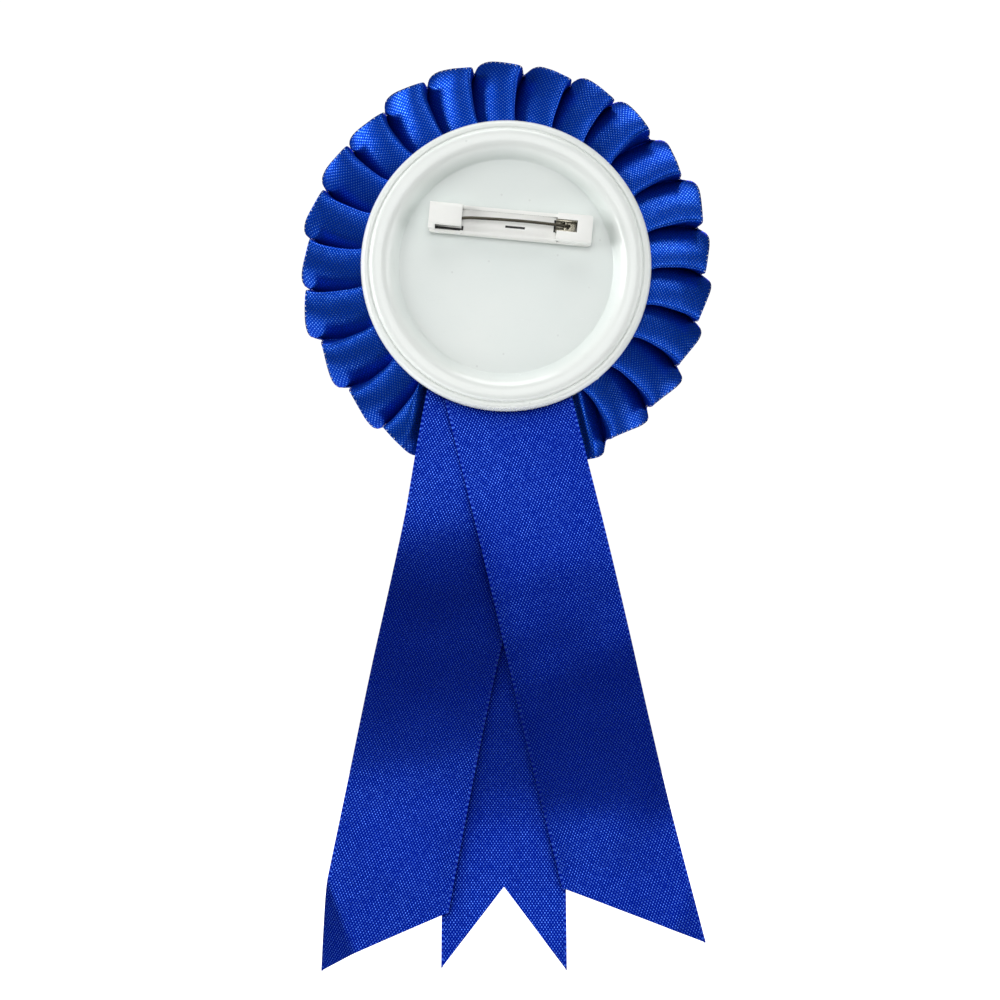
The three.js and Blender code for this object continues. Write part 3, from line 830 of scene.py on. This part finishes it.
ruffleSettings = {
    "Pleats": 25.0, "Columns": 32, "Rows": 36, "Seed": 4.0,
    "First angle": 5.2, "Angle spread": 0.7, "Most slack": 4.0,
    "Inner radius": 16.6, "Outer radius": 40.5, "Radius spread": 1.2, "Rim radius": 29.0, "Bow": 1.7,
    "Panel": 10.6, "Return": 5.1, "Edge slant": 1.5, "Notch": 2.4, "Corner": 1.3, "Width": 25.0,
    "Near depth": 4.62, "Depth": 5.4, "Depth spread": 0.16, "Unevenness": 0.5,
    "Pressed depth": 7.4, "Pressed share": 0.3,
}
ruffleCloth = 0.24


foldInputs = ("Pleats", "Seed", "First angle", "Angle spread", "Most slack", "Inner radius", "Outer radius",
              "Radius spread", "Rim radius", "Bow")


def pointingTo(add, degrees):
    # the direction in the ring's plane that lies this far clockwise from the top
    turn = add("Math", [degrees], operation="RADIANS")
    return add("CombineXYZ", {"X": add("Math", [turn], operation="SINE"),
                                    "Z": add("Math", [turn], operation="COSINE")})


def nearFoldTree():
    # where one crisp fold lies; folds count clockwise from the top, and each runs from the inner edge (0)
    # to the outer (1)
    tree, add, given, result = newTree(
        "near fold", dict.fromkeys(("Fold", "Along", *foldInputs), 0.0),
        {"Point": "NodeSocketVector", "Across": "NodeSocketVector", "Outwards": "NodeSocketVector",
         "Chance": "NodeSocketFloat"})
    number = add("Math", [given["Fold"], given["Pleats"]], operation="FLOORED_MODULO")
    key = add("Math", [number, given["Seed"]], operation="ADD")
    thrown = add("TexWhiteNoise", {"W": key}, noise_dimensions="1D").outputs["Color"]
    middle = add("VectorMath", [thrown, (0.5, 0.5, 0.5)], operation="SUBTRACT")
    chances = add("SeparateXYZ", [middle]).outputs
    # hand pleating bunches the folds in three places, most of all behind the tails
    share = add("Math", [number, given["Pleats"]], operation="DIVIDE")
    slack = add("FloatCurve", {"Value": share}, curve=[
        (0, 1), (0.06, 0.93), (0.12, 0.45), (0.18, 0.93), (0.27, 0.95), (0.36, 0.7), (0.45, 0.94),
        (0.54, 0.8), (0.62, 0.15), (0.7, 0.8), (0.78, 1), (1, 1)])
    missing = add("Math", [slack, 1.0], operation="SUBTRACT")
    drift = add("Math", [missing, given["Most slack"]], operation="MULTIPLY")
    pitch = add("Math", [360.0, given["Pleats"]], operation="DIVIDE")
    even = add("Math", [pitch, given["Fold"], given["First angle"]], operation="MULTIPLY_ADD")
    drifted = add("Math", [even, drift], operation="ADD")
    angle = add("Math", [chances["X"], given["Angle spread"], drifted], operation="MULTIPLY_ADD")
    reach = add("Math", [chances["Y"], given["Radius spread"], given["Outer radius"]],
                operation="MULTIPLY_ADD")
    radius = add("MapRange", {0: given["Along"], 3: given["Inner radius"], 4: reach})
    beyond = add("MapRange", [radius, given["Rim radius"], reach])
    bowed = add("FloatCurve", {"Value": beyond}, curve=[(0, 0.1), (0.4, 1), (1, 0.15)])
    less = add("Math", [bowed, given["Bow"]], operation="MULTIPLY")
    bent = add("Math", [angle, less], operation="SUBTRACT")
    pointing, outwards = pointingTo(add, bent), pointingTo(add, angle)
    point = add("VectorMath", {0: pointing, "Scale": radius}, operation="SCALE")
    across = add("VectorMath", [outwards, (0, 1, 0)], operation="CROSS_PRODUCT")
    found = {"Point": point, "Across": across, "Outwards": outwards, "Chance": chances["Z"]}
    for name, value in found.items():
        tree.links.new(value if name == "Chance" else value.outputs[0], result[name])
    return tree


def passageMask(add, position, given):
    # 1 where the tails cross the ruffle, 0 well clear of them
    place = add("SeparateXYZ", [position])
    mask = add("MapRange", [place.outputs["Z"], -13.0, -18.0], interpolation_type="SMOOTHSTEP")
    for side, sign in (("Right", 1.0), ("Left", -1.0)):
        edge = add("Math", [place.outputs["Z"], given[side + " slope"], given[side + " edge"]],
                   operation="MULTIPLY_ADD")
        past = add("Math", [place.outputs["X"], edge], operation="SUBTRACT")
        outside = add("Math", [past, sign], operation="MULTIPLY")
        near = add("MapRange", [outside, 2.0, 0.4], interpolation_type="SMOOTHSTEP")
        mask = add("Math", [mask, near], operation="MULTIPLY")
    return mask


def ruffleTree():
    edges = {"Right edge": 0.0, "Right slope": 0.0, "Left edge": 0.0, "Left slope": 0.0}
    tree, add, given, result = newTree("knife pleats",
                                       {**ruffleSettings, **edges, "Material": bpy.types.Material})
    fold = nearFoldTree()
    columns = add("Math", [given["Pleats"], given["Columns"], 1.0], operation="MULTIPLY_ADD")
    rows = add("Math", [given["Rows"], 1.0], operation="ADD")
    ribbon = add("GeometryNodeMeshGrid",
                 {"Size X": 1.0, "Size Y": 1.0, "Vertices X": columns, "Vertices Y": rows})
    start = add("SeparateXYZ", [add("GeometryNodeInputPosition")])
    length = add("Math", [start.outputs["X"], 0.5], operation="ADD")
    # rows crowd towards the outer edge, where the selvedge runs
    inwards = add("Math", [0.5, start.outputs["Y"]], operation="SUBTRACT")
    crowded = add("Math", [inwards, 1.25], operation="POWER")
    across = add("Math", [1.0, crowded], operation="SUBTRACT")
    run = add("Math", [length, given["Pleats"]], operation="MULTIPLY")
    number = add("Math", [run], operation="FLOOR")
    part = add("Math", [run, number], operation="SUBTRACT")
    # each pleat is a return that dives from one crisp fold, then a panel that climbs to the next
    whole = add("Math", [given["Panel"], given["Return"]], operation="ADD")
    turnUnder = add("Math", [given["Return"], whole], operation="DIVIDE")
    dive = add("MapRange", [part, 0.0, turnUnder])
    climb = add("MapRange", [part, turnUnder, 1.0, 1.0, 0.0])
    following = add("Math", [number, 1.0], operation="ADD")
    shared = {key: given[key] for key in foldInputs}
    first, second = (
        add("GeometryNodeGroup", {**shared, "Fold": count, "Along": across}, node_tree=fold)
        for count in (number, following))
    # pressed nearly flat at the inner edge, sprung open at the outer
    opening = add("FloatCurve", {"Value": across},
                  curve=[(0, 0.26), (0.3, 0.38), (0.5, 0.68), (0.75, 0.88), (1, 1)])
    varied = add("Math", [second.outputs["Chance"], given["Depth spread"], 1.0], operation="MULTIPLY_ADD")
    most = add("Math", [varied, given["Depth"]], operation="MULTIPLY")
    depth = add("Math", [most, opening], operation="MULTIPLY")
    depthSquare = add("Math", [depth, depth], operation="MULTIPLY")
    panelSquare = add("Math", [given["Panel"], given["Panel"]], operation="MULTIPLY")
    planSquare = add("Math", [panelSquare, depthSquare], operation="SUBTRACT")
    plan = add("Math", [planSquare], operation="SQRT")
    sideways = add("Math", [plan, climb], operation="MULTIPLY")
    stepped = add("VectorMath", [second.outputs["Across"], sideways, second.outputs["Point"]],
                  operation="MULTIPLY_ADD")
    # the free edge slants outwards, is round at the far fold and dips between two pleats
    slant = add("Math", [given["Edge slant"], climb], operation="MULTIPLY")
    roundness = add("Math", [climb, 9.0], operation="POWER")
    slanted = add("Math", [given["Corner"], roundness], operation="MULTIPLY")
    slantNet = add("Math", [slant, slanted], operation="SUBTRACT")
    arch = add("Math", [dive, math.pi], operation="MULTIPLY")
    between = add("Math", [arch], operation="SINE")
    dip = add("Math", [given["Notch"], between], operation="MULTIPLY")
    edgeOut = add("Math", [slantNet, dip], operation="SUBTRACT")
    outer = add("MapRange", [across, 0.72, 1.0], interpolation_type="SMOOTHSTEP")
    slantOut = add("Math", [edgeOut, outer], operation="MULTIPLY")
    panel = add("VectorMath", [second.outputs["Outwards"], slantOut, stepped], operation="MULTIPLY_ADD")
    spot = add("Mix", {0: dive, 4: first.outputs["Point"], 5: panel}, data_type="VECTOR")
    crown = add("MapRange", [across, 0.3, 0.8, 1.0, 2.1])
    curved = add("Math", [climb, crown], operation="POWER")
    reached = add("Math", [curved, dive], operation="MULTIPLY")
    sunk = add("Math", [reached, depth], operation="MULTIPLY")
    free = add("Math", [sunk, given["Near depth"]], operation="ADD")
    pressed = add("Math", [sunk, given["Pressed share"], given["Pressed depth"]],
                  operation="MULTIPLY_ADD")
    settledY = add("Mix", {0: passageMask(add, spot.outputs[1], given), 2: free, 3: pressed})
    upright = add("CombineXYZ", {"Y": settledY})
    shape = add("VectorMath", [spot, upright], operation="ADD")
    # the cloth isn't ironed flat: slow hills, more towards the free edge
    hills = add("TexNoise", {"Vector": shape, "Scale": 0.16, "Detail": 1.5})
    lumps = add("VectorMath", [hills.outputs["Color"], (0.5, 0.5, 0.5)], operation="SUBTRACT")
    loose = add("Math", [given["Unevenness"], across], operation="MULTIPLY")
    uneven = add("VectorMath", [lumps, loose, shape], operation="MULTIPLY_ADD")
    metres = add("VectorMath", {0: uneven, "Scale": mm}, operation="SCALE")

    flatLength = add("Math", [run, whole], operation="MULTIPLY")
    flatWidth = add("Math", [across, given["Width"]], operation="MULTIPLY")
    flat = add("CombineXYZ", {"X": flatLength, "Y": flatWidth})
    mapped = add("GeometryNodeStoreNamedAttribute",
                 {"Geometry": ribbon, "Name": "ribbonMap", "Value": flat},
                 data_type="FLOAT2", domain="CORNER")
    insideEdge = add("FunctionNodeCompare", [across, 0.98], operation="GREATER_THAN")
    outsideEdge = add("FunctionNodeCompare", [across, 0.999], operation="LESS_THAN")
    onEdge = add("FunctionNodeBooleanMath", [insideEdge, outsideEdge], operation="AND")
    marked = add("GeometryNodeStoreNamedAttribute",
                 {"Geometry": mapped, "Name": "selvedge", "Value": onEdge},
                 data_type="FLOAT", domain="POINT")
    folded = add("GeometryNodeSetPosition", {"Geometry": marked, "Position": metres})
    closed = add("GeometryNodeMergeByDistance", {"Geometry": folded, "Distance": 0.02 * mm})
    eased = add("GeometryNodeBlurAttribute", {"Value": add("GeometryNodeInputPosition"), "Iterations": 2},
                data_type="FLOAT_VECTOR")
    easedCloth = add("GeometryNodeSetPosition", {"Geometry": closed, "Position": eased})
    return finished(tree, easedCloth, given, result)


def tailEdges():
    # the outer edges of the two leaning tails, as x = edge + slope * z
    found = {}
    for side, sign in (("right", 1), ("left", -1)):
        lean = math.radians(tails[side]["lean"])
        half = tailSettings["width"] / 2 / math.cos(lean)
        found[side.capitalize() + " slope"] = -math.tan(lean)
        found[side.capitalize() + " edge"] = (
            tails[side]["centre"] + sign * half + tailSettings["bend"] * math.tan(lean))
    return found


ruffleSatin = polyesterSatin("polyester satin, pleated", satinSettings["ruffle"])
ruffle = grown("pleated_ruffle", ruffleTree(), {**ruffleSettings, **tailEdges(), "Material": ruffleSatin})
ruffleEdge = selvedgeOf(ruffle, "ruffle_selvedge", polyesterThread("polyester weft, pleated", "061E6E"))
clothThickness(ruffle, ruffleCloth)
outward(ruffle)
fitted(ruffle, "rosette", ruffleSatin, "ruffle_satin", "ruffle")
fitted(ruffleEdge, "rosette", ruffleEdge.data.materials[0], "ruffle_satin")
print("ruffle pleated:", len(ruffle.data.polygons), "faces")


# ---- pleating stitch: a running thread that holds the pleats near their inner edge

stitchSettings = {"Radius": 19.0, "Depth": 4.32, "Stitches": 84, "Length": 1.05, "Thread": 0.11}


def stitchTree():
    tree, add, given, result = newTree("pleating stitch",
                                       {**stitchSettings, "Material": bpy.types.Material})
    line = add("GeometryNodeCurvePrimitiveCircle", {"Resolution": 128, "Radius": given["Radius"]})
    spaced = add("GeometryNodeResampleCurve", {"Curve": line, "Count": given["Stitches"]}, mode="COUNT")
    lined = add("FunctionNodeAlignRotationToVector", {"Vector": add("GeometryNodeInputTangent")}, axis="Z")
    bar = add("GeometryNodeMeshUVSphere", {"Segments": 8, "Rings": 8, "Radius": 1.0})
    half = add("Math", [given["Length"], 0.5], operation="MULTIPLY")
    size = add("CombineXYZ", {"X": given["Thread"], "Y": given["Thread"], "Z": half})
    placed = add("GeometryNodeInstanceOnPoints",
                 {"Points": spaced, "Instance": bar, "Rotation": lined, "Scale": size})
    moved = add("GeometryNodeTransform", {
        "Geometry": placed, "Rotation": (math.radians(90), 0, 0),
        "Translation": add("CombineXYZ", {"Y": given["Depth"]})})
    small = add("GeometryNodeTransform", {"Geometry": moved, "Scale": (mm, mm, mm)})
    return finished(tree, small, given, result)


sewing = polyesterThread("polyester sewing thread", "2A3FA0")
stitches = grown("pleat_stitching", stitchTree(), {**stitchSettings, "Material": sewing})
fitted(stitches, "rosette", sewing, "ruffle_satin")
print("pleats stitched")


# ---- card, glue and the front button

buttonSettings = {"edge": 2.4, "rise": 1.7, "rollTo": 155, "sheet": 0.3, "paper": (0.05, 0.2),
                  "film": (0.25, 0.4)}


def discFrom(node, name, rounding):
    low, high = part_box(node)
    radius, near, far = high.x / mm, low.y / mm, high.y / mm
    corners = [(0, near, 0), (radius, near, rounding), (radius, far, rounding), (0, far, 0)]
    return turned(name, rounded(corners, 4), 144)


def buttonSkin(name, inside, outside, rollTo):
    # a low dome that rolls over the edge and ends behind it, between two offsets from the shell's outside
    s = buttonSettings
    low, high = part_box("front_shell")
    rollRadius = high.x / mm - s["edge"]
    rollDepth = high.y / mm - s["rise"] - s["edge"]
    profile = []
    for offset, way in ((inside, 1), (outside, -1)):
        dome = [(rollRadius * i / 24, rollDepth + s["edge"] + s["rise"] * (1 - (i / 24) ** 2) + offset)
                for i in range(24)]
        roll = []
        for turn in np.linspace(7, rollTo, 20):
            a = math.radians(turn)
            roll.append((rollRadius + (s["edge"] + offset) * math.sin(a),
                         rollDepth + (s["edge"] + offset) * math.cos(a)))
        profile += (dome + roll)[::way]
    return turned(name, profile, 192)


tinplate = metal("rolled tinplate", "9DA1A4", "C9CCCE", (1, 1, 0.1), 500, 0.24)
board = porous("grey board, uncoated", "B9B2A2", "D8D2C4", 700, 0.92, 0.05)
hotMelt = porous("hot-melt glue, cloudy", "D8D2C0", "EDE8DA", 260, 0.42, 0.12)
fitted(discFrom("ruffle_card", "ruffle_board", 0.12), "rosette", board, "card", "ruffle_card")
fitted(discFrom("glue_pad", "hot_melt_pad", 0.2), "rosette", hotMelt, "glue", "glue_pad")
fitted(discFrom("front_back_disc", "button_back_disc", 0.08), "rosette", tinplate, "tinplate",
       "front_back_disc")
fitted(buttonSkin("button_shell", -buttonSettings["sheet"], 0, buttonSettings["rollTo"]),
       "rosette", tinplate, "tinplate", "front_shell")
fitted(buttonSkin("printed_face", *buttonSettings["paper"], buttonSettings["rollTo"] - 30),
       "rosette", printedPaper(), "printed_paper", "artwork_disc")
fitted(buttonSkin("clear_cover", *buttonSettings["film"], buttonSettings["rollTo"]),
       "rosette", clearFilm(), "clear_film", "clear_film")
print("front button pressed")
